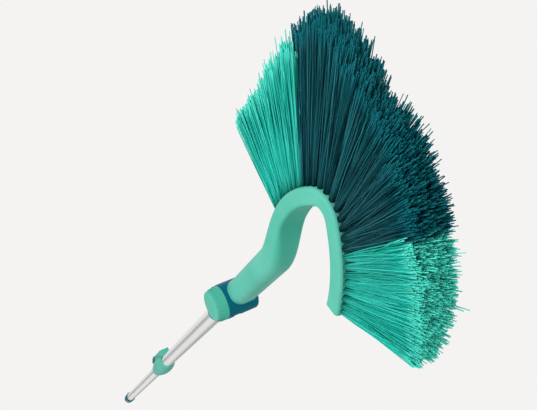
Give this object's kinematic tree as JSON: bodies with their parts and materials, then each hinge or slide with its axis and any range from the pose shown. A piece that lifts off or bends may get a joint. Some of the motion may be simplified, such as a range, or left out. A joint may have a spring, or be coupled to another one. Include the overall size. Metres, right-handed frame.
{
  "type": "cobweb brush",
  "caption": "Cobweb brush with an arched head of fanned bristles on a tilting knob hinge and a telescopic aluminium handle with a lever clamp.",
  "frame": {"origin": "centre of the hanging hole across the end cap, on the handle's axis", "axes": "+Z along the handle towards the brush head, X in the plane of the arch with the free leg on +X, the clamping knob facing -Y"},
  "size_m": [0.2454, 0.054, 1.5588],
  "materials": {
    "aluminium": "satin drawn aluminium",
    "mint_plastic": "satin moulded plastic, mint green",
    "petrol_plastic": "satin moulded plastic, petrol blue",
    "grey_plastic": "plain moulded plastic, inside the handle",
    "steel": "zinc-plated steel",
    "friction_rubber": "matt friction lining",
    "mint_bristle": "straight synthetic bristle, mint green",
    "dark_bristle": "straight synthetic bristle, dark teal"
  },
  "bodies": {
    "handle": {"inner_tube": "aluminium", "end_cap": "petrol_plastic", "inner_tube_guide": "grey_plastic"},
    "outer": {"outer_tube": "aluminium", "clamp_body": "mint_plastic", "lever_pin": "steel", "tube_socket": "petrol_plastic", "tube_plug": "grey_plastic", "socket_screw": "steel"},
    "jaw": {"clamp_jaw": "grey_plastic"},
    "lever": {"clamp_lever": "petrol_plastic"},
    "head": {"hinge_drum": "petrol_plastic", "hinge_bolt": "steel", "friction_disc_front": "friction_rubber", "friction_disc_rear": "friction_rubber", "brush_body": "mint_plastic", "saddle_screws": "steel", "bristles_mint_left_lower": "mint_bristle", "bristles_mint_left_upper": "mint_bristle", "bristles_dark_left": "dark_bristle", "bristles_dark_crown": "dark_bristle", "bristles_dark_right": "dark_bristle", "bristles_mint_right_upper": "mint_bristle", "bristles_mint_right_lower": "mint_bristle"},
    "plate": {"pressure_plate": "steel", "cone_spring": "steel"},
    "knob": {"clamping_knob": "mint_plastic", "knob_nut": "steel"}
  },
  "joints": [
    {"name": "telescope", "type": "slide", "parent": "handle", "child": "outer", "axis": [0, 0, 1], "range_m": [-0.34, 0.025]},
    {"name": "lever_swing", "type": "hinge", "parent": "outer", "child": "lever", "pos_m": [-0.017, 0, 0.591], "axis": [0, 1, 0], "range_deg": [0, 100]},
    {"name": "jaw_press", "type": "slide", "parent": "outer", "child": "jaw", "axis": [-1, 0, 0], "range_m": [0, 0.0004]},
    {"name": "head_tilt", "type": "hinge", "parent": "outer", "child": "head", "pos_m": [0, 0, 1.12], "axis": [0, 1, 0], "range_deg": [-75, 75]},
    {"name": "knob_turn", "type": "hinge", "parent": "plate", "child": "knob", "pos_m": [0, -0.02, 1.12], "axis": [0, -1, 0], "range_deg": [0, 270]},
    {"name": "plate_press", "type": "slide", "parent": "head", "child": "plate", "axis": [0, -1, 0], "range_m": [0, 0.00094]}
  ],
  "couplings": [
    {"joint": "jaw_press", "follows": "lever_swing", "m_per_rad": 0.000229},
    {"joint": "plate_press", "follows": "knob_turn", "m_per_rad": 0.00019894}
  ]
}
